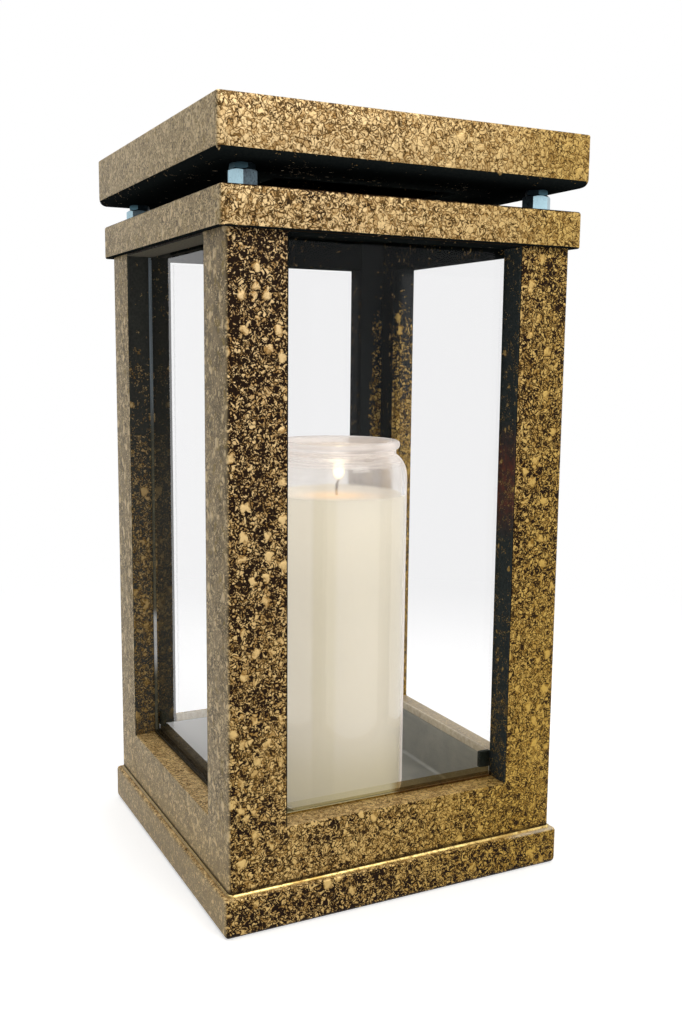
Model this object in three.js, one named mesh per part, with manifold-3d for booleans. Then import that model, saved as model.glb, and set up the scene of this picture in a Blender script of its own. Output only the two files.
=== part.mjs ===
// Grave lantern: a glazed sheet-steel body on a plinth, a lift-off lid whose roof stands on four
// studs over a vented collar, and a jar candle inside. Millimetres, +Z up, front towards -Y.
// The origin is the centre of the plinth's resting face.

import * as THREE from 'three';
import { mergeVertices } from 'three/addons/utils/BufferGeometryUtils.js';
import Module from 'manifold-3d';

const wasm = await Module();
wasm.setup();

// Body frame
const bodyWidth = 187.4;
const frameFace = 30.2;
const frameDepth = 15;
const frameWall = 1.5;
const frameCorner = 2;
const frameLip = 0.8;
const leastBend = 0.5;
const bottomRailHeight = 29.9;
const windowHeight = 281.2;
const topRailHeight = 17;

// Glazing
const paneThickness = 3;
const beadWidth = 2;
const beadClearance = 0.15;

// Plinth
const plinthOverhang = 3.3;
const plinthHeight = 20.3;
const plinthSheet = 2;
const plinthFlange = 14;
const plinthTopRound = 2;
const plinthBottomRound = 3.2;
const plinthCorner = 2.2;

// Floor pan
const panSheet = 1.5;
const panClearance = 0.3;
const panCorner = 3;
const panFootRound = 2;

// Collar
const collarSheet = 2;
const skirtClearance = 2.05;
const skirtDrop = 16.4;
const collarTopRound = 1.6;
const collarCorner = 2;
const skirtFootRound = 1;
const ventBorder = 35.75;
const ventCorner = 14;

// Roof
const roofOverhang = 2.25;
const roofHeight = 26.2;
const roofSheet = 2;
const roofFlange = 48;
const roofTopRound = 1;
const roofBottomRound = 4.6;
const roofCorner = 1.8;
const flangeCorner = 4;

// Lid fasteners
const studInset = 16.75;
const studDiameter = 6;
const studTail = 2;
const spacerFlats = 13;
const spacerHeight = 8.2;
const thinNutFlats = 10.4;
const thinNutHeight = 3.2;
const roofNutFlats = 10;
const roofNutHeight = 5;
const threadClearance = 0.3;
const nutFaceInset = 0.25;
const nutChamferSlope = Math.tan(Math.PI / 6);
const nutCornerMargin = 0.5;
const spacerTurn = 12;
const thinNutTurn = 34;
const degree = Math.PI / 180;

// Candle jar
const jarX = 4;
const jarY = -8;
const jarRadius = 39.4;
const jarHeight = 208.6;
const jarWall = 2.8;
const jarBase = 5;
const jarFootRound = 12;
const jarPunt = 1.2;
const shoulderHeight = 11.5;
const neckRadius = 33.1;
const neckHeight = 4.4;
const rimRadius = 35.1;
const rimHeight = 5.2;
const jarMouthRadius = 30.8;
const rimRound = 1.2;
const shoulderRiseShare = 0.62;
const shoulderInShare = 0.4;
const shoulderDropShare = 0.12;

// Wax, wick and sustainer
const waxDrop = 8.5;
const waxClearance = 0.3;
const waxDish = 1.6;
const waxKneeShare = 0.94;
const waxFlatShare = 0.7;
const wickDiameter = 2.4;
const wickTip = 8.5;
const sustainerRadius = 10;
const sustainerSheet = 0.6;
const sustainerNeckRadius = 3;
const sustainerNeckHeight = 6;

// Smoothness and cutting
const cornerSteps = 3;
const edgeSteps = 3;
const lipSteps = 2;
const jarSides = 36;
const smallSides = 16;
const chamferSides = 24;
const overrun = 4;
const weldTolerance = 1e-4;

// Levels, from the resting face upwards
const frameFoot = plinthHeight;
const sillLevel = frameFoot + bottomRailHeight;
const lintelLevel = sillLevel + windowHeight;
const frameTop = lintelLevel + topRailHeight;
const collarTop = frameTop + collarSheet;
const thinNutLevel = collarTop + spacerHeight;
const roofFoot = thinNutLevel + thinNutHeight;
const roofNutLevel = roofFoot + roofSheet;
const studTop = roofNutLevel + roofNutHeight + studTail;
const panFloor = plinthHeight + panSheet;

// Widths that follow from the body
const windowWidth = bodyWidth - 2 * frameFace;
const insideWidth = bodyWidth - 2 * frameDepth;
const plinthWidth = bodyWidth + 2 * plinthOverhang;
const panWidth = insideWidth - 2 * panClearance;
const panWallTop = sillLevel;
const collarWidth = bodyWidth + 2 * (skirtClearance + collarSheet);
const ventWidth = collarWidth - 2 * ventBorder;
const studReach = collarWidth / 2 - studInset;
const roofWidth = collarWidth + 2 * roofOverhang;
const threadBore = studDiameter + 2 * threadClearance;

// Heights within the jar
const shoulderTop = jarHeight - rimHeight - neckHeight;
const shoulderFoot = shoulderTop - shoulderHeight;
const waxHeight = shoulderFoot - waxDrop - jarBase;

// Materials
const paint = new THREE.MeshStandardMaterial({ color: 0x8f6d35, roughness: 0.45, metalness: 0.6 });
const zinc = new THREE.MeshStandardMaterial({ color: 0x9fb2c4, roughness: 0.3, metalness: 1 });
const bareSteel = new THREE.MeshStandardMaterial({ color: 0x858b93, roughness: 0.4, metalness: 0.9 });
const paneGlass = new THREE.MeshStandardMaterial({
  color: 0xeef4f4, roughness: 0.05, metalness: 0, transparent: true, opacity: 0.2,
});
const silicone = new THREE.MeshStandardMaterial({
  color: 0xc9d2d6, roughness: 0.4, metalness: 0, transparent: true, opacity: 0.6,
});
const jarGlass = new THREE.MeshStandardMaterial({
  color: 0xf2f4f2, roughness: 0.06, metalness: 0, transparent: true, opacity: 0.3,
});
const wax = new THREE.MeshStandardMaterial({ color: 0xe9e0c4, roughness: 0.55, metalness: 0 });
const cotton = new THREE.MeshStandardMaterial({ color: 0x2a211b, roughness: 0.95, metalness: 0 });
const tinPlate = new THREE.MeshStandardMaterial({ color: 0xb4b6b8, roughness: 0.35, metalness: 1 });

// Solids and cuts
function toSolid(geometry) {
  const bare = geometry.index ? geometry.toNonIndexed() : geometry.clone();
  bare.deleteAttribute('normal');
  bare.deleteAttribute('uv');
  const merged = mergeVertices(bare, weldTolerance);
  return new wasm.Manifold(new wasm.Mesh({
    numProp: 3,
    vertProperties: new Float32Array(merged.attributes.position.array),
    triVerts: new Uint32Array(merged.index.array),
  }));
}

function toGeometry(solid) {
  const data = solid.getMesh();
  const geometry = new THREE.BufferGeometry();
  geometry.setAttribute('position', new THREE.BufferAttribute(data.vertProperties, 3));
  geometry.setIndex(new THREE.BufferAttribute(data.triVerts, 1));
  return geometry;
}

function cut(geometry, ...tools) {
  let solid = toSolid(geometry);
  for (const tool of tools) {
    solid = solid.subtract(toSolid(tool));
  }
  return toGeometry(solid);
}

// A rectangle with rounded corners, centred on the origin
function roundedRectangle(width, depth, radius) {
  const x = width / 2;
  const y = depth / 2;
  const shape = new THREE.Shape();
  shape.moveTo(-x + radius, -y);
  shape.lineTo(x - radius, -y);
  shape.absarc(x - radius, -y + radius, radius, -Math.PI / 2, 0);
  shape.lineTo(x, y - radius);
  shape.absarc(x - radius, y - radius, radius, 0, Math.PI / 2);
  shape.lineTo(-x + radius, y);
  shape.absarc(-x + radius, y - radius, radius, Math.PI / 2, Math.PI);
  shape.lineTo(-x, -y + radius);
  shape.absarc(-x + radius, -y + radius, radius, Math.PI, 3 * Math.PI / 2);
  shape.closePath();
  return shape;
}

function prism(shape, height, steps) {
  return new THREE.ExtrudeGeometry(shape, { depth: height, bevelEnabled: false, curveSegments: steps });
}

function roundHole(diameter, height) {
  const hole = new THREE.CylinderGeometry(diameter / 2, diameter / 2, height, smallSides);
  hole.rotateX(Math.PI / 2);
  return hole;
}

// A square block whose upright corners, foot and top edges are rounded, standing on z = 0
function roundedBlock(width, height, corner, footRound, topRound) {
  const rings = [];
  for (let i = 0; i <= edgeSteps; i++) {
    const turn = (i / edgeSteps) * Math.PI / 2;
    rings.push({ inset: footRound * (1 - Math.sin(turn)), z: footRound * (1 - Math.cos(turn)) });
  }
  for (let i = 0; i <= edgeSteps; i++) {
    const turn = (i / edgeSteps) * Math.PI / 2;
    rings.push({ inset: topRound * (1 - Math.cos(turn)), z: height - topRound * (1 - Math.sin(turn)) });
  }
  const points = [];
  for (const ring of rings) {
    const half = width / 2 - ring.inset;
    const radius = corner * half / (width / 2);
    for (let quarter = 0; quarter < 4; quarter++) {
      const start = quarter * Math.PI / 2;
      const cx = (half - radius) * Math.SQRT2 * Math.cos(start + Math.PI / 4);
      const cy = (half - radius) * Math.SQRT2 * Math.sin(start + Math.PI / 4);
      for (let i = 0; i <= cornerSteps; i++) {
        const turn = start + (i / cornerSteps) * Math.PI / 2;
        points.push(cx + radius * Math.cos(turn), cy + radius * Math.sin(turn), ring.z);
      }
    }
  }
  const count = 4 * (cornerSteps + 1);
  const faces = [];
  for (let ring = 0; ring < rings.length - 1; ring++) {
    for (let i = 0; i < count; i++) {
      const a = ring * count + i;
      const b = ring * count + (i + 1) % count;
      faces.push(a, b, b + count, a, b + count, a + count);
    }
  }
  const last = (rings.length - 1) * count;
  for (let i = 1; i < count - 1; i++) {
    faces.push(0, i + 1, i);
    faces.push(last, last + i, last + i + 1);
  }
  const block = new THREE.BufferGeometry();
  block.setAttribute('position', new THREE.Float32BufferAttribute(points, 3));
  block.setIndex(faces);
  return block;
}

// A tray folded from sheet, hollow, with a mouth in its foot inside an inward flange
function foldedTray(size) {
  const outside = roundedBlock(size.width, size.height, size.corner, size.footRound, size.topRound);
  const hollowWidth = size.width - 2 * size.sheet;
  const hollowHeight = size.height - 2 * size.sheet;
  const hollow = roundedBlock(
    hollowWidth, hollowHeight,
    Math.max(size.corner - size.sheet, leastBend),
    Math.max(size.footRound - size.sheet, leastBend),
    Math.max(size.topRound - size.sheet, leastBend),
  );
  hollow.translate(0, 0, size.sheet);
  const mouthWidth = size.width - 2 * size.flange;
  const mouth = prism(
    roundedRectangle(mouthWidth, mouthWidth, size.mouthCorner), size.sheet + 2 * overrun, cornerSteps,
  );
  mouth.translate(0, 0, -overrun);
  return cut(outside, hollow, mouth);
}

// Places of the four corners, the four sides and their names
const corners = [
  { name: 'front_left', x: -1, y: -1, turn: 0 },
  { name: 'front_right', x: 1, y: -1, turn: Math.PI / 2 },
  { name: 'back_right', x: 1, y: 1, turn: Math.PI },
  { name: 'back_left', x: -1, y: 1, turn: -Math.PI / 2 },
];
const sides = [
  { name: 'front', turn: 0 },
  { name: 'right', turn: Math.PI / 2 },
  { name: 'back', turn: Math.PI },
  { name: 'left', turn: -Math.PI / 2 },
];

function mesh(name, geometry, material) {
  const piece = new THREE.Mesh(geometry, material);
  piece.name = name;
  return piece;
}

// Plinth: an upturned tray with a return flange to stand on
function plinth() {
  const tray = foldedTray({
    width: plinthWidth,
    height: plinthHeight,
    sheet: plinthSheet,
    flange: plinthFlange,
    corner: plinthCorner,
    footRound: plinthBottomRound,
    topRound: plinthTopRound,
    mouthCorner: plinthFlange / 2,
  });
  return mesh('plinth', tray, paint);
}

// Corner post: a closed L-shaped tube whose two legs make the window reveals
function cornerOutline(inset) {
  const far = bodyWidth / 2 - inset;
  const near = bodyWidth / 2 - frameDepth + inset;
  const end = bodyWidth / 2 - frameFace + inset;
  const bend = Math.max(frameCorner - inset, leastBend);
  const lip = Math.max(frameLip - inset, leastBend);
  const outline = new THREE.Shape();
  outline.moveTo(-far + bend, -far);
  outline.lineTo(-end - lip, -far);
  outline.absarc(-end - lip, -far + lip, lip, -Math.PI / 2, 0);
  outline.lineTo(-end, -near - lip);
  outline.absarc(-end - lip, -near - lip, lip, 0, Math.PI / 2);
  outline.lineTo(-near + lip, -near);
  outline.absarc(-near + lip, -near + lip, lip, 3 * Math.PI / 2, Math.PI, true);
  outline.lineTo(-near, -end - lip);
  outline.absarc(-near - lip, -end - lip, lip, 0, Math.PI / 2);
  outline.lineTo(-far + lip, -end);
  outline.absarc(-far + lip, -end - lip, lip, Math.PI / 2, Math.PI);
  outline.lineTo(-far, -far + bend);
  outline.absarc(-far + bend, -far + bend, bend, Math.PI, 3 * Math.PI / 2);
  outline.closePath();
  return outline;
}

function cornerPost(corner) {
  const outline = cornerOutline(0);
  outline.holes.push(cornerOutline(frameWall));
  const post = mesh(`post_${corner.name}`, prism(outline, frameTop - frameFoot, lipSteps), paint);
  post.position.z = frameFoot;
  post.rotation.z = corner.turn;
  return post;
}

// Rail: a rectangular tube that fills the opening between two posts
function rail(name, side, height, foot) {
  const outline = roundedRectangle(frameDepth, height, frameLip);
  outline.holes.push(roundedRectangle(
    frameDepth - 2 * frameWall, height - 2 * frameWall, leastBend,
  ));
  const tube = prism(outline, windowWidth, lipSteps);
  tube.translate(0, 0, -windowWidth / 2);
  tube.rotateX(Math.PI / 2);
  tube.rotateZ(Math.PI / 2);
  tube.translate(0, -bodyWidth / 2 + frameDepth / 2, foot + height / 2);
  const piece = mesh(`${name}_${side.name}`, tube, paint);
  piece.rotation.z = side.turn;
  return piece;
}

// Pane: a sheet of glass flush with the inside of the frame, with a silicone bead round it
function pane(side) {
  const margin = 2 * (beadWidth + beadClearance);
  const sheet = new THREE.BoxGeometry(windowWidth - margin, paneThickness, windowHeight - margin);
  sheet.translate(0, -insideWidth / 2 - paneThickness / 2, (sillLevel + lintelLevel) / 2);
  const piece = mesh(`pane_${side.name}`, sheet, paneGlass);
  piece.rotation.z = side.turn;
  return piece;
}

function bead(side) {
  const outline = roundedRectangle(
    windowWidth - 2 * beadClearance, windowHeight - 2 * beadClearance, beadWidth,
  );
  outline.holes.push(roundedRectangle(
    windowWidth - 2 * beadWidth, windowHeight - 2 * beadWidth, beadClearance,
  ));
  const ring = prism(outline, paneThickness, lipSteps);
  ring.rotateX(Math.PI / 2);
  ring.translate(0, -insideWidth / 2, (sillLevel + lintelLevel) / 2);
  const piece = mesh(`glazing_bead_${side.name}`, ring, silicone);
  piece.rotation.z = side.turn;
  return piece;
}

// Floor pan: an open tray inside the bottom rails
function floorPan() {
  const height = panWallTop - plinthHeight;
  const outside = roundedBlock(panWidth, height, panCorner, panFootRound, leastBend);
  const hollow = roundedBlock(
    panWidth - 2 * panSheet, height + overrun,
    Math.max(panCorner - panSheet, leastBend), panFootRound, leastBend,
  );
  hollow.translate(0, 0, panSheet);
  const piece = mesh('floor_pan', cut(outside, hollow), bareSteel);
  piece.position.z = plinthHeight;
  return piece;
}

// Collar: the lower plate of the lid, with a skirt outside the body and a vent over the candle
function collar() {
  const height = collarSheet + skirtDrop;
  const outside = roundedBlock(collarWidth, height, collarCorner, skirtFootRound, collarTopRound);
  const hollow = roundedBlock(
    collarWidth - 2 * collarSheet, height - collarSheet + overrun,
    Math.max(collarCorner - collarSheet, leastBend), leastBend, leastBend,
  );
  hollow.translate(0, 0, -overrun);
  const vent = prism(
    roundedRectangle(ventWidth, ventWidth, ventCorner), collarSheet + 2 * overrun, cornerSteps,
  );
  vent.translate(0, 0, height - collarSheet - overrun);
  const piece = mesh('collar', cut(outside, hollow, vent), paint);
  piece.position.z = collarTop - height;
  return piece;
}

// Roof: a deep tray whose inward flange takes the four studs
function roof() {
  const tray = foldedTray({
    width: roofWidth,
    height: roofHeight,
    sheet: roofSheet,
    flange: roofFlange,
    corner: roofCorner,
    footRound: roofBottomRound,
    topRound: roofTopRound,
    mouthCorner: flangeCorner,
  });
  const holes = corners.map((corner) => {
    const hole = roundHole(threadBore, roofSheet + 2 * overrun);
    hole.translate(corner.x * studReach, corner.y * studReach, roofSheet / 2);
    return hole;
  });
  const piece = mesh('roof', cut(tray, ...holes), paint);
  piece.position.z = roofFoot;
  return piece;
}

// Weld stud: a plain shank welded to the collar, up through the spacer, thin nut and roof flange
function stud(corner) {
  const shank = roundHole(studDiameter, studTop - collarTop);
  shank.translate(0, 0, (studTop - collarTop) / 2);
  const piece = mesh(`stud_${corner.name}`, shank, zinc);
  piece.position.set(corner.x * studReach, corner.y * studReach, collarTop);
  return piece;
}

// Hexagon nut or spacer: six flats, the corners turned off at both ends, and a clear bore
function hexPiece(flats, height) {
  const outline = new THREE.Shape();
  const reach = flats / Math.sqrt(3);
  for (let i = 0; i < 6; i++) {
    const x = reach * Math.cos(i * Math.PI / 3);
    const y = reach * Math.sin(i * Math.PI / 3);
    if (i === 0) outline.moveTo(x, y);
    else outline.lineTo(x, y);
  }
  outline.closePath();
  const faceRadius = flats / 2 - nutFaceInset;
  const turnedRadius = reach + nutCornerMargin;
  const chamfer = (turnedRadius - faceRadius) * nutChamferSlope;
  const blank = new THREE.LatheGeometry([
    new THREE.Vector2(0, 0),
    new THREE.Vector2(faceRadius, 0),
    new THREE.Vector2(turnedRadius, chamfer),
    new THREE.Vector2(turnedRadius, height - chamfer),
    new THREE.Vector2(faceRadius, height),
    new THREE.Vector2(0, height),
  ], chamferSides);
  blank.rotateX(Math.PI / 2);
  const body = toSolid(prism(outline, height, 1)).intersect(toSolid(blank));
  const bore = roundHole(threadBore, height + 2 * overrun);
  bore.translate(0, 0, height / 2);
  return toGeometry(body.subtract(toSolid(bore)));
}

function hexAt(name, corner, flats, height, level, turn) {
  const piece = mesh(`${name}_${corner.name}`, hexPiece(flats, height), zinc);
  piece.position.set(corner.x * studReach, corner.y * studReach, level);
  piece.rotation.z = corner.turn + turn;
  return piece;
}

// Candle jar: the profile runs up the outside from the axis and back down the inside
function jarProfile() {
  const innerRadius = jarRadius - jarWall;
  const innerFoot = jarFootRound - jarWall;
  const outer = new THREE.Path();
  outer.moveTo(0, jarPunt);
  outer.lineTo(jarRadius - jarFootRound - jarPunt, jarPunt);
  outer.lineTo(jarRadius - jarFootRound, 0);
  outer.absarc(jarRadius - jarFootRound, jarFootRound, jarFootRound, -Math.PI / 2, 0);
  outer.lineTo(jarRadius, shoulderFoot);
  outer.bezierCurveTo(
    jarRadius, shoulderFoot + shoulderHeight * shoulderRiseShare,
    neckRadius + (jarRadius - neckRadius) * shoulderInShare, shoulderTop - shoulderHeight * shoulderDropShare,
    neckRadius, shoulderTop,
  );
  outer.lineTo(neckRadius, shoulderTop + neckHeight);
  outer.lineTo(rimRadius, jarHeight - rimHeight + rimRound);
  outer.lineTo(rimRadius, jarHeight - rimRound);
  outer.lineTo(rimRadius - rimRound, jarHeight);
  outer.lineTo(jarMouthRadius + rimRound, jarHeight);
  outer.lineTo(jarMouthRadius, jarHeight - rimRound);
  outer.lineTo(jarMouthRadius, shoulderTop);
  outer.bezierCurveTo(
    jarMouthRadius + (innerRadius - jarMouthRadius) * shoulderInShare,
    shoulderTop - shoulderHeight * shoulderDropShare,
    innerRadius, shoulderFoot + shoulderHeight * shoulderRiseShare,
    innerRadius, shoulderFoot,
  );
  outer.lineTo(innerRadius, jarBase + innerFoot);
  outer.absarc(innerRadius - innerFoot, jarBase + innerFoot, innerFoot, 0, -Math.PI / 2, true);
  outer.lineTo(0, jarBase);
  return outer.getPoints(edgeSteps);
}

function turned(points, sides) {
  const solid = new THREE.LatheGeometry(points, sides);
  solid.rotateX(Math.PI / 2);
  return solid;
}

function jar() {
  const piece = mesh('candle_jar', turned(jarProfile(), jarSides), jarGlass);
  piece.position.z = panFloor;
  return piece;
}

// Wax: fills the jar below the shoulder, bored for the wick and hollowed for the sustainer
function waxFill() {
  const radius = jarRadius - jarWall - waxClearance;
  const round = jarFootRound - jarWall - waxClearance;
  const path = new THREE.Path();
  path.moveTo(0, 0);
  path.lineTo(radius - round, 0);
  path.absarc(radius - round, round, round, -Math.PI / 2, 0);
  path.lineTo(radius, waxHeight);
  path.quadraticCurveTo(
    radius * waxKneeShare, waxHeight - waxDish, radius * waxFlatShare, waxHeight - waxDish,
  );
  path.lineTo(0, waxHeight - waxDish);
  const block = turned(path.getPoints(edgeSteps), jarSides);
  const bore = roundHole(wickDiameter + 2 * waxClearance, waxHeight + 2 * overrun);
  bore.translate(0, 0, waxHeight / 2);
  const seat = roundHole(2 * (sustainerRadius + waxClearance), 2 * (sustainerSheet + waxClearance));
  const neck = roundHole(
    2 * (sustainerNeckRadius + waxClearance), 2 * (sustainerNeckHeight + waxClearance),
  );
  const piece = mesh('wax', cut(block, bore, seat, neck), wax);
  piece.position.z = panFloor + jarBase;
  return piece;
}

// Sustainer: a pressed disc with a short neck that grips the wick
function sustainer() {
  const boreRadius = wickDiameter / 2 + waxClearance / 2;
  const disc = turned([
    new THREE.Vector2(boreRadius, 0),
    new THREE.Vector2(sustainerRadius, 0),
    new THREE.Vector2(sustainerRadius, sustainerSheet),
    new THREE.Vector2(sustainerNeckRadius, sustainerSheet),
    new THREE.Vector2(sustainerNeckRadius - sustainerSheet, sustainerNeckHeight),
    new THREE.Vector2(boreRadius, sustainerNeckHeight),
    new THREE.Vector2(boreRadius, 0),
  ], smallSides);
  const piece = mesh('wick_sustainer', disc, tinPlate);
  piece.position.z = panFloor + jarBase;
  return piece;
}

function wick() {
  const length = waxHeight - waxDish + wickTip;
  const cord = roundHole(wickDiameter, length);
  cord.translate(0, 0, length / 2);
  const piece = mesh('wick', cord, cotton);
  piece.position.z = panFloor + jarBase;
  return piece;
}

// The three bodies
const frameBody = new THREE.Group();
frameBody.add(plinth(), floorPan());
for (const corner of corners) {
  frameBody.add(cornerPost(corner));
}
for (const side of sides) {
  frameBody.add(rail('bottom_rail', side, bottomRailHeight, frameFoot));
  frameBody.add(rail('top_rail', side, topRailHeight, lintelLevel));
  frameBody.add(pane(side), bead(side));
}

const lid = new THREE.Group();
lid.add(collar(), roof());
for (const corner of corners) {
  lid.add(stud(corner));
  lid.add(hexAt('spacer', corner, spacerFlats, spacerHeight, collarTop, spacerTurn * degree));
  lid.add(hexAt('thin_nut', corner, thinNutFlats, thinNutHeight, thinNutLevel, thinNutTurn * degree));
  lid.add(hexAt('roof_nut', corner, roofNutFlats, roofNutHeight, roofNutLevel, 0));
}

const candle = new THREE.Group();
candle.add(jar(), waxFill(), sustainer(), wick());
candle.position.set(jarX, jarY, 0);

const lantern = new THREE.Group();
lantern.add(frameBody, lid, candle);

export default lantern;
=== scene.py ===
import math
from dataclasses import dataclass
from functools import partialmethod
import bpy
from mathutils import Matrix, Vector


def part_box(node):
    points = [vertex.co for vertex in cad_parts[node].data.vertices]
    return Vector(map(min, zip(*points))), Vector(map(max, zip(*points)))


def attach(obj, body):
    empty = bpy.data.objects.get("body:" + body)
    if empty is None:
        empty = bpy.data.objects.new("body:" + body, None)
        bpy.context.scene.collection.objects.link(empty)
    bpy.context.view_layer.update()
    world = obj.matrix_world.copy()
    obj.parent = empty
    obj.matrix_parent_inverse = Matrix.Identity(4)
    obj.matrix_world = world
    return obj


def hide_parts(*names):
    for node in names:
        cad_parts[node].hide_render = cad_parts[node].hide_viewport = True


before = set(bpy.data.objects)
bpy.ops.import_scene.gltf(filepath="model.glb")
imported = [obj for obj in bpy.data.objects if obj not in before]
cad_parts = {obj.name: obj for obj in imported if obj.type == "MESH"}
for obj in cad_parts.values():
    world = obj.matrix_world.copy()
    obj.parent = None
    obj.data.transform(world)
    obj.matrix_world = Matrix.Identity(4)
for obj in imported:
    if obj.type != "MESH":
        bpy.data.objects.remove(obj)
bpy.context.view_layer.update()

from types import SimpleNamespace

import bpy
from mathutils import Matrix, Vector

MM = 0.001

# Places and sizes read from the frame
roof_low, roof_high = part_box("roof")
collar_low, collar_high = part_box("collar")
plinth_low, plinth_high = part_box("plinth")
pan_low, pan_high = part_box("floor_pan")
post_low, post_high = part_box("post_front_left")
sill_low, sill_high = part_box("bottom_rail_front")
lintel_low, lintel_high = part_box("top_rail_front")
jar_low, jar_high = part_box("candle_jar")
wax_low, wax_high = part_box("wax")
wick_low, wick_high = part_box("wick")
body_half = -post_low.x
frame_depth = sill_high.y - sill_low.y
post_face = post_high.x - post_low.x
window_half = sill_high.x
sill_level = sill_high.z
lintel_level = lintel_low.z
jar_x = (jar_low.x + jar_high.x) / 2
jar_y = (jar_low.y + jar_high.y) / 2
jar_radius = (jar_high.x - jar_low.x) / 2

# The same in millimetres, for the materials
sill_mm = sill_level / MM
lintel_mm = lintel_level / MM
seam_mm = plinth_high.z / MM
rim_mm = jar_high.z / MM
pool_mm = wax_high.z / MM
wick_tip_mm = wick_high.z / MM
jar_x_mm = jar_x / MM
jar_y_mm = jar_y / MM

# Sheet thicknesses and rounds, as in the solids
SHEET = 2 * MM
PAN_SHEET = 1.5 * MM
POST_SHEET = 1.5 * MM
ROOF_FLANGE = 48 * MM
PLINTH_FLANGE = 14 * MM
VENT_HALF = 62 * MM
VENT_CORNER = 14 * MM
POST_BEND = 2.0 * MM
WINDOW_LIP = 0.8 * MM
LEAST_BEND = 0.5 * MM
LEAST_CORNER = 0.05 * MM

# Steps of the rounded edges, and the angle from which an edge is sharp
CORNER_STEPS = 8
ROUND_STEPS = 6
OUTLINE_STEPS = 5
SHARP_ANGLE = math.radians(40)


# Meshes
def add_mesh(name, verts, faces, material, smooth=True):
    data = bpy.data.meshes.new(name)
    data.from_pydata([tuple(v) for v in verts], [], faces)
    data.validate()
    data.update()
    obj = bpy.data.objects.new(name, data)
    bpy.context.scene.collection.objects.link(obj)
    data.materials.append(material)
    if smooth:
        data.polygons.foreach_set("use_smooth", [True] * len(data.polygons))
        data.set_sharp_from_angle(angle=SHARP_ANGLE)
    return obj


def add_stack(name, sections, material, turn=0.0, closed=False):
    """A skin over sections of equal point counts, capped unless closed, turned about the middle."""
    count = len(sections[0])
    spin = Matrix.Rotation(turn, 3, "Z")
    verts = [spin @ Vector(point) for section in sections for point in section]
    faces = []
    for ring in range(len(sections) if closed else len(sections) - 1):
        a = ring * count
        b = (ring + 1) % len(sections) * count
        for i in range(count):
            j = (i + 1) % count
            faces.append((a + i, a + j, b + j, b + i))
    if not closed:
        faces.append(tuple(reversed(range(count))))
        faces.append(tuple(range((len(sections) - 1) * count, len(sections) * count)))
    return add_mesh(name, verts, faces, material)


def arc(cx, cy, radius, start, end, steps=8):
    """Points about (cx, cy), from one angle in degrees to another."""
    points = []
    for i in range(steps + 1):
        turn = math.radians(start + (end - start) * i / steps)
        points.append((cx + radius * math.cos(turn), cy + radius * math.sin(turn)))
    return points


def bezier(a, b, c, d, steps=12):
    points = []
    for i in range(steps + 1):
        t = i / steps
        weights = ((1 - t) ** 3, 3 * t * (1 - t) ** 2, 3 * t * t * (1 - t), t ** 3)
        points.append(tuple(sum(w * p[k] for w, p in zip(weights, (a, b, c, d))) for k in range(2)))
    return points


def square_ring(half, radius, z):
    """Points of a square with rounded corners, anticlockwise seen from above."""
    centre = half - radius
    points = []
    for quarter, (x, y) in enumerate(((1, 1), (-1, 1), (-1, -1), (1, -1))):
        points += arc(centre * x, centre * y, radius, quarter * 90, quarter * 90 + 90, CORNER_STEPS)
    return [(x, y, z) for x, y in points]


def loft(name, rings, material, closed=False):
    """Joins square rings of (half width, corner radius, level) into one skin, capped unless closed."""
    sections = [square_ring(half, max(corner, LEAST_CORNER), z) for half, corner, z in rings]
    return add_stack(name, sections, material, closed=closed)


def edge_round(half, corner, z, radius, start, end):
    """Rings that turn an edge about (half, z); angle 0 faces outwards and 90 degrees upwards."""
    turned_edge = arc(0, z, radius, start, end, ROUND_STEPS)
    return [(half + grow, corner + grow, level) for grow, level in turned_edge]


def folded_tray(name, low, high, material, foot_round, top_round, corner, flange, mouth_corner):
    """A hollow tray turned upside down, with an inward flange round the mouth in its foot."""
    half = high.x
    inner_half = half - SHEET
    mouth_half = half - flange
    in_foot = max(foot_round - SHEET, LEAST_BEND)
    in_top = max(top_round - SHEET, LEAST_BEND)
    in_corner = max(corner - SHEET, LEAST_BEND)
    rings = edge_round(inner_half - in_top, in_corner - in_top, high.z - SHEET - in_top, in_top, 90, 0)
    rings += edge_round(inner_half - in_foot, in_corner - in_foot, low.z + SHEET + in_foot, in_foot, 0, -90)
    rings += [(mouth_half, mouth_corner, low.z + SHEET), (mouth_half, mouth_corner, low.z)]
    rings += edge_round(half - foot_round, corner - foot_round, low.z + foot_round, foot_round, -90, 0)
    rings += edge_round(half - top_round, corner - top_round, high.z - top_round, top_round, 0, 90)
    return loft(name, rings, material)


def rounded_outline(points, radii, steps=OUTLINE_STEPS):
    """A polygon's outline with each corner rounded to its own radius."""
    outline = []
    for i, (point, radius) in enumerate(zip(points, radii)):
        corner = Vector(point)
        back = (Vector(points[i - 1]) - corner).normalized()
        ahead = (Vector(points[(i + 1) % len(points)]) - corner).normalized()
        half_angle = back.angle(ahead) / 2
        centre = corner + (back + ahead).normalized() * (radius / math.sin(half_angle))
        first = corner + back * (radius / math.tan(half_angle)) - centre
        last = corner + ahead * (radius / math.tan(half_angle)) - centre
        start = math.degrees(math.atan2(first.y, first.x))
        sweep = -math.degrees(first.angle_signed(last))
        outline += arc(centre.x, centre.y, radius, start, start + sweep, steps)
    return outline


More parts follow.
